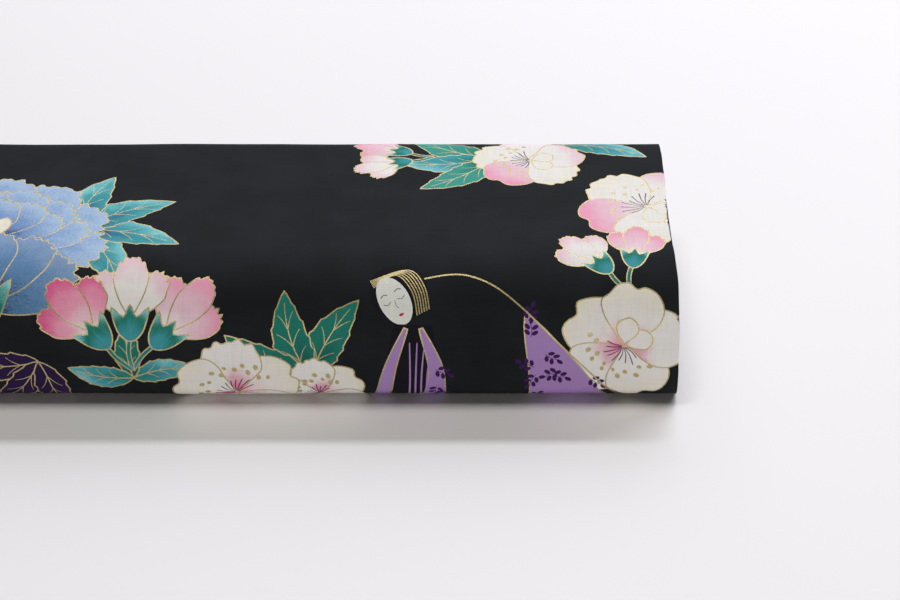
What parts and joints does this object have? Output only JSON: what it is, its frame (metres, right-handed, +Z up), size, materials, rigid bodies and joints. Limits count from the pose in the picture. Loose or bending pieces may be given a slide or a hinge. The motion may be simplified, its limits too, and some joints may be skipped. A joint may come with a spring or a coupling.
{
  "type": "fabric bolt",
  "caption": "Bolt of printed black cotton, doubled lengthwise and wound flat round a corrugated cardboard board whose labelled end sticks out.",
  "frame": {"origin": "middle of the flat underside, below the centre of the bounding box", "axes": "+X along the bolt from the selvage and label end to the fold end, -Y towards the front edge, +Z up from the surface it lies on"},
  "size_m": [0.5626, 0.18, 0.074],
  "materials": {
    "black_cotton": "plain weave cotton, black ground with a floral print in metallic gold outline",
    "kraft_liner": "smooth brown kraft liner",
    "fluting_paper": "uncoated brown fluting paper",
    "label_paper": "uncoated off-white paper, no text",
    "tape_paper": "satin paper tape"
  },
  "bodies": {
    "root": {"cloth_outer_turn": "black_cotton", "cloth_inner_turns": "black_cotton", "board_outer_liner": "kraft_liner", "board_inner_liner": "kraft_liner", "board_fluting": "fluting_paper", "board_spacer_front": "kraft_liner", "board_spacer_back": "kraft_liner", "board_flap_fold_end": "kraft_liner", "board_flap_label_end": "kraft_liner", "end_label": "label_paper", "start_tape": "tape_paper"}
  },
  "joints": []
}
